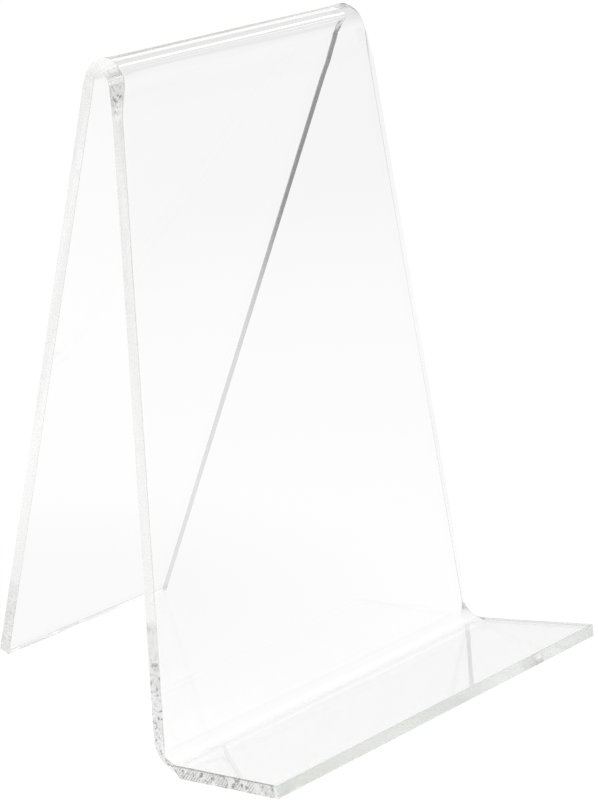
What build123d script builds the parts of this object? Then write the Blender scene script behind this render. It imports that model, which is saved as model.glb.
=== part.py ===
from build123d import *
import math
import os

# Photo album stand: one clear acrylic strip, cut with straight sides that run in towards one
# end, then bent twice. From front to back it is a ledge, a heel bend, a front panel, a top fold
# and a rear leg. Each of these stretches is a solid of its own, and neighbours meet face to face
# on the line where the bend begins or ends.
#
# Frame: X runs across the stand, the ledge points to -Y and +Z is up. The origin is on the
# table, under the middle of the stand.

# Driving dimensions, in millimetres and degrees
SHEET = 3.175         # thickness of the strip
FRONT_WIDTH = 127.0   # width of the strip at the front edge of the ledge
SIDE_TAPER = 5.19     # each side of the strip runs in at this angle
LEDGE_LENGTH = 34.1   # flat of the ledge, up to the heel bend
PANEL_LENGTH = 154.1  # flat of the panel, between the two bends
HEEL_RADIUS = 5.8     # outer radius of the heel bend
FOLD_RADIUS = 6.25    # outer radius of the top fold
LEDGE_RISE = 9.2      # the ledge climbs towards its front edge
PANEL_LEAN = 8.6      # the panel leans back from upright
LEG_RAKE = 16.7       # the leg runs back from upright

# Headings of the three flats on the way from the front edge to the foot, from +Y towards +Z
LEDGE_HEADING = -LEDGE_RISE
PANEL_HEADING = 90 - PANEL_LEAN
LEG_HEADING = LEG_RAKE - 90
HEEL_TURN = PANEL_HEADING - LEDGE_HEADING
FOLD_TURN = PANEL_HEADING - LEG_HEADING

# Radii of the bends at the middle of the sheet, and the lengths of strip that they take up
HEEL_MID_RADIUS = HEEL_RADIUS - SHEET / 2
FOLD_MID_RADIUS = FOLD_RADIUS - SHEET / 2
HEEL_ARC = math.radians(HEEL_TURN) * HEEL_MID_RADIUS
FOLD_ARC = math.radians(FOLD_TURN) * FOLD_MID_RADIUS

ACROSS = Vector(1, 0, 0)


def along(heading):
    """Unit vector that points along a heading."""
    return Vector(0, math.cos(math.radians(heading)), math.sin(math.radians(heading)))


def left_of(heading):
    """Unit vector a quarter turn from a heading, on the side that the heel bend turns to."""
    return along(heading + 90)


# The middle of the sheet, bend by bend, with Y measured from the centre of the heel bend.
# The heel bend touches the table, and so does the lower corner of the leg's cut end.
heel_centre = Vector(0, 0, HEEL_RADIUS)
heel_start = heel_centre - left_of(LEDGE_HEADING) * HEEL_MID_RADIUS
heel_end = heel_centre - left_of(PANEL_HEADING) * HEEL_MID_RADIUS
front_edge = heel_start - along(LEDGE_HEADING) * LEDGE_LENGTH
fold_start = heel_end + along(PANEL_HEADING) * PANEL_LENGTH
fold_centre = fold_start - left_of(PANEL_HEADING) * FOLD_MID_RADIUS
fold_end = fold_centre + left_of(LEG_HEADING) * FOLD_MID_RADIUS
half_sheet_drop = math.sin(math.radians(LEG_RAKE)) * SHEET / 2
LEG_LENGTH = (fold_end.Z - half_sheet_drop) / math.cos(math.radians(LEG_RAKE))
foot = fold_end + along(LEG_HEADING) * LEG_LENGTH

# The stand reaches from the ledge's lower front corner to the leg's upper rear corner.
front_reach = (front_edge - left_of(LEDGE_HEADING) * (SHEET / 2)).Y
rear_reach = (foot + left_of(LEG_HEADING) * (SHEET / 2)).Y
TO_MIDDLE = Vector(0, -(front_reach + rear_reach) / 2, 0)


def half_width(distance):
    """Half the strip's width, that far along the strip from the front edge."""
    return FRONT_WIDTH / 2 - distance * math.tan(math.radians(SIDE_TAPER))


def flat(start, heading, begins, length):
    """A flat stretch of the strip, whose middle runs from a point along a heading."""
    near = half_width(begins)
    far = half_width(begins + length)
    plane = Plane(origin=start + TO_MIDDLE, x_dir=ACROSS, z_dir=left_of(heading))
    outline = Polyline((-near, 0), (near, 0), (far, length), (-far, length), close=True)
    return extrude(plane * make_face(outline), amount=SHEET / 2, both=True)


def cross_section(point, heading, distance):
    """The strip's rectangle at a point of its run, that far along the strip from the front edge."""
    plane = Plane(origin=point + TO_MIDDLE, x_dir=ACROSS, z_dir=along(heading))
    return plane * Rectangle(2 * half_width(distance), SHEET)


def bend(centre, radius, headings, distances):
    """A bend of the strip, swept round its centre from one heading and width to the next."""
    turn = headings[1] - headings[0]
    outward = math.copysign(90, turn)
    plane = Plane(origin=centre + TO_MIDDLE, x_dir=along(0), z_dir=ACROSS)
    path = plane * CenterArc((0, 0), radius, headings[0] - outward, turn)
    sections = []
    for heading, distance in zip(headings, distances):
        point = centre + along(heading - outward) * radius
        sections.append(cross_section(point, heading, distance))
    return sweep(sections, path=path, multisection=True)


# Distances along the strip from the front edge to where each stretch begins
HEEL_BEGINS = LEDGE_LENGTH
PANEL_BEGINS = HEEL_BEGINS + HEEL_ARC
FOLD_BEGINS = PANEL_BEGINS + PANEL_LENGTH
LEG_BEGINS = FOLD_BEGINS + FOLD_ARC


def ledge():
    """The wide end of the strip, which the album stands on."""
    return flat(front_edge, LEDGE_HEADING, 0, LEDGE_LENGTH)


def heel_bend():
    """The bend that rests on the table and joins the ledge to the panel."""
    headings = (LEDGE_HEADING, PANEL_HEADING)
    return bend(heel_centre, HEEL_MID_RADIUS, headings, (HEEL_BEGINS, PANEL_BEGINS))


def front_panel():
    """The flat that the album leans against."""
    return flat(heel_end, PANEL_HEADING, PANEL_BEGINS, PANEL_LENGTH)


def top_fold():
    """The tight fold that turns the strip down into the leg."""
    headings = (PANEL_HEADING, LEG_HEADING)
    return bend(fold_centre, FOLD_MID_RADIUS, headings, (FOLD_BEGINS, LEG_BEGINS))


def rear_leg():
    """The narrow end of the strip, which stands on the lower corner of its square-cut end."""
    return flat(fold_end, LEG_HEADING, LEG_BEGINS, LEG_LENGTH)


os.makedirs("parts", exist_ok=True)
for make in (ledge, heel_bend, front_panel, top_fold, rear_leg):
    name = make.__name__
    piece = make()
    piece.label = name
    export_step(piece, f"parts/{name}.step")
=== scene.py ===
import math

import bpy
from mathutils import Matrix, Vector


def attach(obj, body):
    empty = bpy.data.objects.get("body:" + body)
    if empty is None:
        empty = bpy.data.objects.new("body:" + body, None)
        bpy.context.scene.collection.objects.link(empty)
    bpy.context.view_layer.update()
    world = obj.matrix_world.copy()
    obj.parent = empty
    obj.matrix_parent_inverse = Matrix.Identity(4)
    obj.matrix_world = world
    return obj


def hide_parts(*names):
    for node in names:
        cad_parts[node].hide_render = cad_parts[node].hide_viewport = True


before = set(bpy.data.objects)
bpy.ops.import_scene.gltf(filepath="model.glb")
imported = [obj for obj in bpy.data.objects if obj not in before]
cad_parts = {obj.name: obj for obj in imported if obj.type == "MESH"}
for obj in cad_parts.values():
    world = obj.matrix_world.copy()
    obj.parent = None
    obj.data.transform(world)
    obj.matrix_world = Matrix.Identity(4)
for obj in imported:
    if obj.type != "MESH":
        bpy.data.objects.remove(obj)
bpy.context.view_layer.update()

MM = 0.001

# The camera's place round the stand, found from the stand's own edges
CAMERA_AZIMUTH = -51.03
CAMERA_ELEVATION = 17.63
CAMERA_DISTANCE = 0.778
CAMERA_AIM = Vector((0.0051, -0.0106, 0.0731))
CAMERA_LENS = 143.5


# ---------------------------------------------------------------- the strip, read from the CAD

def along(heading):
    """Unit vector at an angle from +Y towards +Z."""
    return Vector((0, math.cos(heading), math.sin(heading)))


def left_of(heading):
    """Unit vector square to the sheet, on the album's side of the panel and the ledge."""
    return along(heading + math.pi / 2)


def flat_ends(node):
    """Both ends of a flat stretch, wide end first: (half width, middle of the sheet, thickness)."""
    corners = {}
    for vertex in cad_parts[node].data.vertices:
        if vertex.co.x > 0:
            place = (round(vertex.co.y, 7), round(vertex.co.z, 7))
            corners.setdefault(round(vertex.co.x, 5), set()).add(place)
    ends = []
    for half_width in sorted(corners, reverse=True):
        first, second = (Vector((0, y, z)) for y, z in sorted(corners[half_width]))
        ends.append((half_width, (first + second) / 2, (first - second).length))
    return ends


FLATS = [flat_ends(node) for node in ("ledge", "front_panel", "rear_leg")]
SHEET = FLATS[0][0][2]


def build_run():
    """The stretches of the strip in order: (start distance, length, start point, heading, turn)."""
    run = []
    distance = 0.0
    for number, ((_, begin, _), (_, finish, _)) in enumerate(FLATS):
        step = finish - begin
        heading = math.atan2(step.z, step.y)
        if number:
            _, _, _, last_heading, _ = run[-1]
            turn = heading - last_heading
            chord = (begin - last_finish).length
            arc = abs(turn) * chord / (2 * math.sin(abs(turn) / 2))
            run.append((distance, arc, last_finish, last_heading, turn))
            distance += arc
        run.append((distance, step.length, begin, heading, 0.0))
        distance += step.length
        last_finish = finish
    return run


RUN = build_run()
STRIP_LENGTH = RUN[-1][0] + RUN[-1][1]
FRONT_HALF_WIDTH = FLATS[0][0][0]
TAPER = (FRONT_HALF_WIDTH - FLATS[-1][-1][0]) / STRIP_LENGTH
HEEL, FOLD = RUN[1], RUN[3]


def place_on_run(distance):
    """The middle of the sheet and its heading, that far along the strip from the front edge."""
    stretch = [s for s in RUN if s[0] <= distance + 1e-9][-1]
    begins, length, start, heading, turn = stretch
    if not turn:
        return start + along(heading) * (distance - begins), heading
    side = math.copysign(length / abs(turn), turn)
    now = heading + turn * (distance - begins) / length
    return start + (left_of(heading) - left_of(now)) * side, now


# ---------------------------------------------------------------- the sheet's mesh

EDGE_ROUND = 0.12 * MM      # the arris of a cut edge
ROUND_STEPS = 3
EDGE_ROWS = 10              # rows of faces through the thickness of a cut edge
DEPTHS = [0.3, 0.7, 1.2, 1.9, 2.8, 4.0, 5.5, 7.5, 10]   # face columns, in mm in from a cut edge
MIDDLE_COLUMNS = 8
BEND_STEPS = 48
FLAT_STEP = 4 * MM
BEND_MARGIN = 14 * MM       # sections stand closer together this far past a bend
MARGIN_STEPS = 18


def face_columns(half_width):
    """Positions across one face, from the left arris to the right one."""
    left = [EDGE_ROUND - half_width] + [d * MM - half_width for d in DEPTHS]
    inner = left[-1]
    middle = [inner * (1 - 2 * i / MIDDLE_COLUMNS) for i in range(1, MIDDLE_COLUMNS)]
    return left + middle + [-x for x in reversed(left)]


def section_loop(half_width):
    """The strip's cross-section as a closed loop of (across, through) points."""
    half = SHEET / 2
    columns = face_columns(half_width)
    rows = [(half - EDGE_ROUND) * (1 - 2 * i / EDGE_ROWS) for i in range(EDGE_ROWS + 1)]
    loop = []

    def arris(sign_x, sign_n, start):
        for i in range(1, ROUND_STEPS):
            angle = start - math.pi / 2 * i / ROUND_STEPS
            loop.append((sign_x * (half_width - EDGE_ROUND) + EDGE_ROUND * math.cos(angle),
                         sign_n * (half - EDGE_ROUND) + EDGE_ROUND * math.sin(angle)))

    loop += [(x, half) for x in columns]
    arris(1, 1, math.pi / 2)
    loop += [(half_width, n) for n in rows]
    arris(1, -1, 0)
    loop += [(x, -half) for x in reversed(columns)]
    arris(-1, -1, -math.pi / 2)
    loop += [(-half_width, n) for n in reversed(rows)]
    arris(-1, 1, math.pi)
    return loop


def stations():
    """The sections along the strip, as (distance, inset); both cut ends have a rounded arris."""
    marks = []
    for begins, length, _, _, turn in RUN:
        ends = begins + length
        if turn:
            marks += [begins + length * i / BEND_STEPS for i in range(BEND_STEPS + 1)]
            for i in range(1, MARGIN_STEPS + 1):
                past = BEND_MARGIN * i / MARGIN_STEPS
                marks += [begins - past, ends + past]
        else:
            inner = length - 2 * BEND_MARGIN - 2 * FLAT_STEP
            count = max(1, round(inner / FLAT_STEP))
            marks += [begins + (length - inner) / 2 + inner * i / count for i in range(count + 1)]
    angles = [math.pi / 2 * i / ROUND_STEPS for i in range(ROUND_STEPS + 1)]
    arris = [(EDGE_ROUND * (1 - math.cos(a)), EDGE_ROUND * (1 - math.sin(a))) for a in angles]
    return (arris + [(mark, 0.0) for mark in sorted(marks)]
            + [(STRIP_LENGTH - distance, inset) for distance, inset in reversed(arris)])


# Where the stretched side of a bend is drawn in at the cut edges, and where the fold has
# thickened there. Each is an amount and four distances past the start of the bend: it grows
# from the first to the second, and fades from the third to the fourth.
HEEL_DRAW = (2.2 * MM, (-2 * MM, 1.5 * MM, 2.5 * MM, 8.5 * MM))
FOLD_DRAW = (1.55 * MM, (-8 * MM, 2 * MM, 5.5 * MM, 16 * MM))
FOLD_THICKEN = (0.2 * MM, (0.0, 5 * MM, 7 * MM, 14 * MM))
SQUEEZE_BULGE = 0.5 * MM    # the squeezed side bulges out this far
SIDE_REACH = 3.6 * MM       # how far in from the cut edge all that is felt


def smooth_step(value, start, end):
    ramp = min(1.0, max(0.0, (value - start) / (end - start)))
    return ramp * ramp * (3 - 2 * ramp)


def swell(past, profile):
    """An amount that grows and fades with the distance past the start of a bend."""
    amount, (grow, full, fade, gone) = profile
    return amount * smooth_step(past, grow, full) * (1 - smooth_step(past, fade, gone))


def distort(distance, across, through, half_width):
    """Moves a point of a section as hot bending does, near the cut edges only."""
    near_edge = math.exp(-((half_width - abs(across)) / SIDE_REACH) ** 2)
    for (begins, _, _, _, turn), draw in ((HEEL, HEEL_DRAW), (FOLD, FOLD_DRAW)):
        past = distance - begins
        side = math.copysign(1, turn)
        stretched = (1 - side * through / (SHEET / 2)) / 2
        drawn = swell(past, draw) * near_edge
        bulged = drawn / draw[0] * SQUEEZE_BULGE
        across += math.copysign(1, across) * (bulged * (1 - stretched) - drawn * stretched ** 1.5)
    # past, side and stretched are still the fold's
    return across, through - side * swell(past, FOLD_THICKEN) * near_edge * stretched


def make_sheet():
    """The whole seamless strip as one closed mesh, with each point's place on the strip kept."""
    points, strip_place, faces, cut = [], [], [], []
    loops = []
    for distance, inset in stations():
        middle, heading = place_on_run(distance)
        half_width = FRONT_HALF_WIDTH - TAPER * distance
        normal = left_of(heading)
        shrink_x = (half_width - inset) / half_width
        shrink_n = (SHEET / 2 - inset) / (SHEET / 2)
        loop = []
        for across, through in section_loop(half_width):
            x, n = distort(distance, across * shrink_x, through * shrink_n, half_width)
            loop.append(len(points))
            points.append(middle + normal * n + Vector((x, 0, 0)))
            strip_place.append((distance / MM, across / MM, through / MM))
        loops.append(loop)
    size = len(loops[0])
    columns = len(face_columns(1.0))
    wall = ROUND_STEPS - 1 + EDGE_ROWS + 1 + ROUND_STEPS - 1
    for near, far in zip(loops, loops[1:]):
        for i in range(size):
            j = (i + 1) % size
            faces.append((near[i], near[j], far[j], far[i]))
            on_wall = (columns - 1 <= i < columns + wall) or i >= 2 * columns + wall - 1
            cut.append(on_wall)
    faces.append(tuple(reversed(loops[0])))
    faces.append(tuple(loops[-1]))
    cut += [True, True]
    mesh = bpy.data.meshes.new("acrylic_sheet")
    mesh.from_pydata([tuple(p) for p in points], [], faces)
    mesh.polygons.foreach_set("material_index", [int(c) for c in cut])
    mesh.polygons.foreach_set("use_smooth", [True] * len(faces))
    layer = mesh.attributes.new("strip_place", "FLOAT_VECTOR", "POINT")
    layer.data.foreach_set("vector", [v for place in strip_place for v in place])
    mesh.validate()
    mesh.update()
    return mesh


# ---------------------------------------------------------------- materials

class Nodes:
    """A node tree being filled in: add() makes a node, and math() and ramp() join values."""

    def __init__(self, tree):
        tree.nodes.clear()
        self.tree = tree

    def add(self, kind, settings=None, **sockets):
        """A node with its settings and sockets; a socket's value may be another node's output."""
        node = self.tree.nodes.new("ShaderNode" + kind)
        for key, value in (settings or {}).items():
            setattr(node, key, value)
        for key, value in sockets.items():
            self.feed(node.inputs[key.replace("_", " ")], value)
        return node

    def feed(self, socket, value):
        if isinstance(value, bpy.types.NodeSocket):
            self.tree.links.new(value, socket)
        else:
            socket.default_value = value

    def math(self, operation, *values):
        node = self.add("Math", {"operation": operation})
        for socket, value in zip(node.inputs, values):
            self.feed(socket, value)
        return node.outputs[0]

    def ramp(self, value, start, end, low=0.0, high=1.0):
        """Smooth step from low to high as value goes from start to end."""
        node = self.add("MapRange", {"interpolation_type": "SMOOTHSTEP"})
        for socket, number in zip(node.inputs, (value, start, end, low, high)):
            self.feed(socket, number)
        return node.outputs[0]

    def noise(self, place, scale, detail=2.0, stretch=(1, 1, 1)):
        """Noise of the strip's place in millimetres, about 0 to 1."""
        scaled = self.add("VectorMath", {"operation": "MULTIPLY"})
        self.feed(scaled.inputs[0], place)
        self.feed(scaled.inputs[1], stretch)
        node = self.add("TexNoise", Vector=scaled.outputs[0], Scale=scale, Detail=detail)
        return node.outputs["Fac"]


def new_material(name):
    material = bpy.data.materials.new(name)
    material.use_nodes = True
    return material, Nodes(material.node_tree)


def strip_coordinates(nodes):
    """The point's place on the strip in mm: the vector, then distance, across and through."""
    place = nodes.add("Attribute", {"attribute_name": "strip_place"}).outputs["Vector"]
    parts = nodes.add("SeparateXYZ", Vector=place).outputs
    return place, parts["X"], parts["Y"], parts["Z"]


REFRACTION = 1.49
TINT = (0.20, 0.28, 0.10, 1)
TINT_DENSITY = 0.5
BEND_RIPPLE = 9.0           # the faces are wavy this many mm past a bend
FACE_RELIEF = 0.12 * MM
WALL_RELIEF = 0.05 * MM
WALL_ROUGHNESS = 0.06
SAWN_FRONT = (58.0, 72.0)   # saw marks and their painted shade fade out between these, in mm from the front edge
SAWN_FOOT = (20, 14)        # and they come back between these, in mm from the foot
FOOT_STRENGTH = 0.4         # where they are this much as strong
FRONT_FACE = (0.4, 1.0)     # the front face has none: they begin between these, in mm
TOOTH_PITCH = 0.9           # mm from one slanted bar of the saw to the next
BAR_SHADE_END = (36.0, 40.0)     # painted shade in dark bars along the saw teeth is strong up to the heel, and faint beyond it
BURR_SHADE = (0.45, 0.2)          # painted shade along the burr at the ledge's upper arris, in mm below the face
BURR_SHADE_END = (33.0, 36.0)
PAINTED_SHADE_DEPTH = 0.8            # how much the painted shade of the darkest marks darkens the white base colour


def tinted_volume(nodes):
    """The faint absorption of the acrylic, which long paths along the sheet turn grey-green."""
    return nodes.add("VolumeAbsorption", Color=TINT, Density=TINT_DENSITY)


def finish_acrylic(nodes, roughness, height, relief, colour=(1, 1, 1, 1)):
    """The glassy surface with its relief, and the tinted volume behind it."""
    bump = nodes.add("Bump", Strength=1.0, Distance=relief, Height=height)
    surface = nodes.add("BsdfPrincipled", Base_Color=colour, Roughness=roughness, IOR=REFRACTION,
                        Transmission_Weight=1.0, Normal=bump.outputs[0])
    volume = tinted_volume(nodes)
    nodes.add("OutputMaterial", Surface=surface.outputs[0], Volume=volume.outputs[0])


def near_bends(nodes, distance, reach):
    """1 inside the bends, fading to 0 that many mm past them."""
    total = 0.0
    for begins, length, _, _, _ in (HEEL, FOLD):
        middle = (begins + length / 2) / MM
        off = nodes.math("ABSOLUTE", nodes.math("SUBTRACT", distance, middle))
        fade = nodes.ramp(off, length / 2 / MM, length / 2 / MM + reach, 1.0, 0.0)
        total = nodes.math("ADD", fade, total)
    return total


def clear_acrylic():
    """The sheet's polished faces: flat and glassy, faintly wavy where they were heated and bent."""
    material, nodes = new_material("clear_acrylic")
    place, distance, _, _ = strip_coordinates(nodes)
    ripple = nodes.noise(place, 0.16, 1.0, (1.0, 0.12, 0.0))
    heated = nodes.math("ADD", near_bends(nodes, distance, BEND_RIPPLE), 0.02)
    height = nodes.math("MULTIPLY", ripple, heated)
    rub = nodes.noise(place, 0.035, 3.0)
    roughness = nodes.ramp(rub, 0.45, 0.8, 0.0, 0.012)
    finish_acrylic(nodes, roughness, height, FACE_RELIEF)
    return material


def sawn_part(nodes, distance, across):
    """How strongly the left cut wall keeps its saw marks and their painted shade: 1 near the front,
    less at the foot.
    """
    front = nodes.math("MULTIPLY", nodes.ramp(distance, *SAWN_FRONT, 1.0, 0.0),
                       nodes.ramp(distance, *FRONT_FACE))
    begins, full = (STRIP_LENGTH / MM - reach for reach in SAWN_FOOT)
    foot = nodes.math("MULTIPLY", nodes.ramp(distance, begins, full), FOOT_STRENGTH)
    left_wall = nodes.math("LESS_THAN", across, 0.0)
    return nodes.math("MULTIPLY", left_wall, nodes.math("ADD", front, foot))


def saw_mark_painted_shade(nodes, place, distance, through, chatter):
    """Painted shade at the nicks, chips and bars of the saw and the burr on the ledge, 1 where it is
    darkest.
    """
    nick_shade = nodes.ramp(nodes.noise(place, 1.0, 3.0, (2.0, 0.2, 0.8)), 0.54, 0.6, 0.0, 0.5)
    chip_shade = nodes.ramp(nodes.noise(place, 1.1, 2.0, (1.0, 0.2, 0.8)), 0.585, 0.63)
    bar_shade = nodes.math("MULTIPLY", nodes.ramp(chatter, 0.2, 0.8),
                      nodes.ramp(distance, *BAR_SHADE_END, 0.9, 0.2))
    begins, full = (SHEET / 2 / MM - below for below in BURR_SHADE)
    burr_shade = nodes.math("MULTIPLY", nodes.ramp(through, begins, full, 0.0, 0.8),
                      nodes.ramp(distance, *BURR_SHADE_END, 1.0, 0.0))
    return nodes.math("MAXIMUM", nodes.math("MAXIMUM", nick_shade, chip_shade),
                      nodes.math("MAXIMUM", bar_shade, burr_shade))


def cut_edge():
    """The flame-polished cut walls: fine lines along them, and saw marks near the ends, with painted
    shade darkening the base colour at the left wall's saw marks.
    """
    material, nodes = new_material("cut_acrylic_edge")
    place, distance, across, through = strip_coordinates(nodes)
    sawn = sawn_part(nodes, distance, across)

    lines = nodes.noise(place, 1.0, 2.0, (0.03, 0.0, 3.0))
    slant = nodes.math("ADD", distance, through)
    teeth = nodes.math("SINE", nodes.math("MULTIPLY", slant, 2 * math.pi / TOOTH_PITCH))
    patches = nodes.ramp(nodes.noise(place, 0.3, 2.0, (1.0, 0.2, 0.7)), 0.42, 0.62)
    chatter = nodes.math("MULTIPLY", teeth, patches)
    grit = nodes.noise(place, 1.6, 3.0)
    rough_relief = nodes.math("MULTIPLY", nodes.math("ADD", grit, chatter),
                              nodes.math("ADD", sawn, 0.1))
    height = nodes.math("ADD", nodes.math("MULTIPLY", lines, 0.35), rough_relief)

    # painted shade: the saw marks darken the clear wall's base colour, standing in for the dark
    # refraction at the rough cut
    marks = saw_mark_painted_shade(nodes, place, distance, through, chatter)
    depth = nodes.math("MULTIPLY", sawn, PAINTED_SHADE_DEPTH)
    clear = nodes.math("SUBTRACT", 1.0, nodes.math("MULTIPLY", marks, depth))
    colour = nodes.add("CombineColor", Red=clear, Green=clear, Blue=clear).outputs[0]
    roughness = nodes.math("ADD", nodes.math("MULTIPLY", sawn, 0.06), WALL_ROUGHNESS)
    finish_acrylic(nodes, roughness, height, WALL_RELIEF, colour)
    return material


# ---------------------------------------------------------------- the studio

def add_camera():
    data = bpy.data.cameras.new("camera")
    camera = bpy.data.objects.new("camera", data)
    bpy.context.scene.collection.objects.link(camera)
    azimuth = math.radians(CAMERA_AZIMUTH)
    elevation = math.radians(CAMERA_ELEVATION)
    back = Vector((math.sin(azimuth) * math.cos(elevation),
                   -math.cos(azimuth) * math.cos(elevation),
                   math.sin(elevation)))
    camera.location = CAMERA_AIM + back * CAMERA_DISTANCE
    camera.rotation_mode = "QUATERNION"
    camera.rotation_quaternion = (-back).to_track_quat("-Z", "Y")
    data.lens = CAMERA_LENS
    data.sensor_width = 36
    data.clip_start = 0.01
    data.clip_end = 100
    bpy.context.scene.camera = camera


# The floor: distances in metres, and brightness with 1 as white
SWEEP_AZIMUTH = -51         # the white sweep runs away from the camera, in degrees as the camera's
SWEEP_LEFT = 0.86           # it is dark this far to the left
SWEEP_RIGHT = 2.4           # and this far to the right
LEFT_POWER = 5.5            # the light falls off late and steeply on the left
RIGHT_POWER = 2.0
FLOOR_GLOW = 1.05           # where it is brightest
DARK_FLOOR = 0.02
FOOT_SHADE = 0.06           # it is this much darker behind the heel
SHADE_Y = 0.07
SHADE_REACH = (0.03, 0.11)
FAR_SHADE = 0.03            # and this much darker far beyond the stand
FAR_REACH = (0.3, 0.75)
FLOOR_GLOSS = 1.8           # refraction index of the floor's gloss
FLOOR_REACH = 8.0
FLOOR_DROP = 0.05 * MM

# The room: its brightness in a direction, with 1 as white
DIM_SIDE = 0.22             # low down to the left
SIDE_RISE = (-0.9, 0.5)
DARK_ROOM = 0.05            # behind the camera
BEHIND_RISE = (-0.75, -0.2)
OVERHEAD_RISE = (0.1, 0.5)
LAMPS = ((43, 56, 0.95), (94.5, 96, 2.2))   # soft boxes up to the right: tilt from, to, and glow
LAMP_EDGE = 2               # degrees
LAMP_SIDE = (0.55, 0.65)


def along_sweep(nodes, x, y):
    """How far a point or a direction lies along the sweep, away from the camera, and leftward."""
    angle = math.radians(SWEEP_AZIMUTH)
    onward = nodes.math("ADD", nodes.math("MULTIPLY", x, -math.sin(angle)),
                        nodes.math("MULTIPLY", y, math.cos(angle)))
    leftward = nodes.math("ADD", nodes.math("MULTIPLY", x, -math.cos(angle)),
                          nodes.math("MULTIPLY", y, -math.sin(angle)))
    return onward, leftward


def floor_light(nodes, x, y):
    """The floor's brightness: a white sweep that falls off to the sides, a little shaded below."""
    onward, leftward = along_sweep(nodes, x, y)
    left = nodes.math("MAXIMUM", nodes.math("DIVIDE", leftward, SWEEP_LEFT), 0.0)
    right = nodes.math("MAXIMUM", nodes.math("DIVIDE", leftward, -SWEEP_RIGHT), 0.0)
    fall = nodes.math("ADD", nodes.math("POWER", left, LEFT_POWER),
                      nodes.math("POWER", right, RIGHT_POWER))
    sweep = nodes.math("MAXIMUM", nodes.math("SUBTRACT", 1.0, fall), DARK_FLOOR)
    off_y = nodes.math("SUBTRACT", y, SHADE_Y)
    off_squared = nodes.math("ADD", nodes.math("MULTIPLY", x, x),
                             nodes.math("MULTIPLY", off_y, off_y))
    shade = nodes.ramp(nodes.math("SQRT", off_squared), *SHADE_REACH, FOOT_SHADE, 0.0)
    far = nodes.ramp(onward, *FAR_REACH, 0.0, FAR_SHADE)
    glow = nodes.math("SUBTRACT", FLOOR_GLOW, nodes.math("ADD", shade, far))
    return nodes.math("MULTIPLY", sweep, glow)


def pale_floor():
    """Glossy white sweep. The camera sees its bare parts burnt out to pure white."""
    material, nodes = new_material("pale_floor")
    place = nodes.add("SeparateXYZ", Vector=nodes.add("NewGeometry").outputs["Position"]).outputs
    light = floor_light(nodes, place["X"], place["Y"])
    seen = nodes.add("LightPath").outputs["Is Camera Ray"]
    glow = nodes.add("Emission", Strength=nodes.math("MAXIMUM", light, seen))
    gloss = nodes.add("BsdfGlossy", Color=(1, 1, 1, 1), Roughness=0.03)
    mirrored = nodes.math("MULTIPLY", nodes.add("Fresnel", IOR=FLOOR_GLOSS).outputs[0],
                          nodes.math("SUBTRACT", 1.0, seen))
    mix = nodes.add("MixShader", Fac=mirrored)
    nodes.feed(mix.inputs[1], glow.outputs[0])
    nodes.feed(mix.inputs[2], gloss.outputs[0])
    nodes.add("OutputMaterial", Surface=mix.outputs[0])
    return material


def add_floor():
    mesh = bpy.data.meshes.new("floor")
    corners = [(FLOOR_REACH * x, FLOOR_REACH * y, 0) for x, y in ((-1, -1), (1, -1), (1, 1), (-1, 1))]
    mesh.from_pydata(corners, [], [(0, 1, 2, 3)])
    floor = bpy.data.objects.new("floor", mesh)
    bpy.context.scene.collection.objects.link(floor)
    floor.location.z = -FLOOR_DROP
    mesh.materials.append(pale_floor())


def lamp_light(nodes, tilt, x, low, high, glow):
    """The light of one soft box, between two tilts in degrees from +Y towards +Z."""
    edge = math.radians(LAMP_EDGE)
    low = math.radians(low)
    high = math.radians(high)
    rise = nodes.ramp(tilt, low - edge, low + edge)
    fall = nodes.ramp(tilt, high - edge, high + edge, 1.0, 0.0)
    return nodes.math("MULTIPLY", nodes.ramp(x, *LAMP_SIDE, 0.0, glow),
                      nodes.math("MULTIPLY", rise, fall))


def add_world():
    """A white studio, bright above and beyond the stand, dim to its left, dark behind the camera."""
    world = bpy.data.worlds.new("studio")
    bpy.context.scene.world = world
    world.use_nodes = True
    nodes = Nodes(world.node_tree)
    place = nodes.add("SeparateXYZ", Vector=nodes.add("TexCoord").outputs["Generated"]).outputs
    onward, leftward = along_sweep(nodes, place["X"], place["Y"])
    side = nodes.ramp(nodes.math("SUBTRACT", onward, leftward), *SIDE_RISE, DIM_SIDE, 1.0)
    behind = nodes.ramp(onward, *BEHIND_RISE, DARK_ROOM, 1.0)
    overhead = nodes.ramp(place["Z"], *OVERHEAD_RISE)
    light = nodes.math("MAXIMUM", nodes.math("MINIMUM", side, behind), overhead)
    tilt = nodes.math("ARCTAN2", place["Z"], place["Y"])
    for low, high, glow in LAMPS:
        lamp = lamp_light(nodes, tilt, place["X"], low, high, glow)
        light = nodes.math("ADD", light, lamp)
    seen = nodes.add("LightPath").outputs["Is Camera Ray"]
    background = nodes.add("Background", Strength=nodes.math("MAXIMUM", light, seen))
    nodes.add("OutputWorld", Surface=background.outputs[0])


LIGHT_BOUNCES = 200         # light is trapped for a long way between the faces of a clear sheet

sheet = bpy.data.objects.new("acrylic_sheet", make_sheet())
bpy.context.scene.collection.objects.link(sheet)
sheet.data.materials.append(clear_acrylic())
sheet.data.materials.append(cut_edge())
shading = sheet.modifiers.new("shading", "WEIGHTED_NORMAL")
shading.weight = 100
shading.keep_sharp = True
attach(sheet, "root")
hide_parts("ledge", "heel_bend", "front_panel", "top_fold", "rear_leg")

add_camera()
add_floor()
add_world()
scene = bpy.context.scene
scene.view_settings.view_transform = "Standard"
scene.cycles.max_bounces = LIGHT_BOUNCES
scene.cycles.glossy_bounces = LIGHT_BOUNCES
scene.cycles.transmission_bounces = LIGHT_BOUNCES
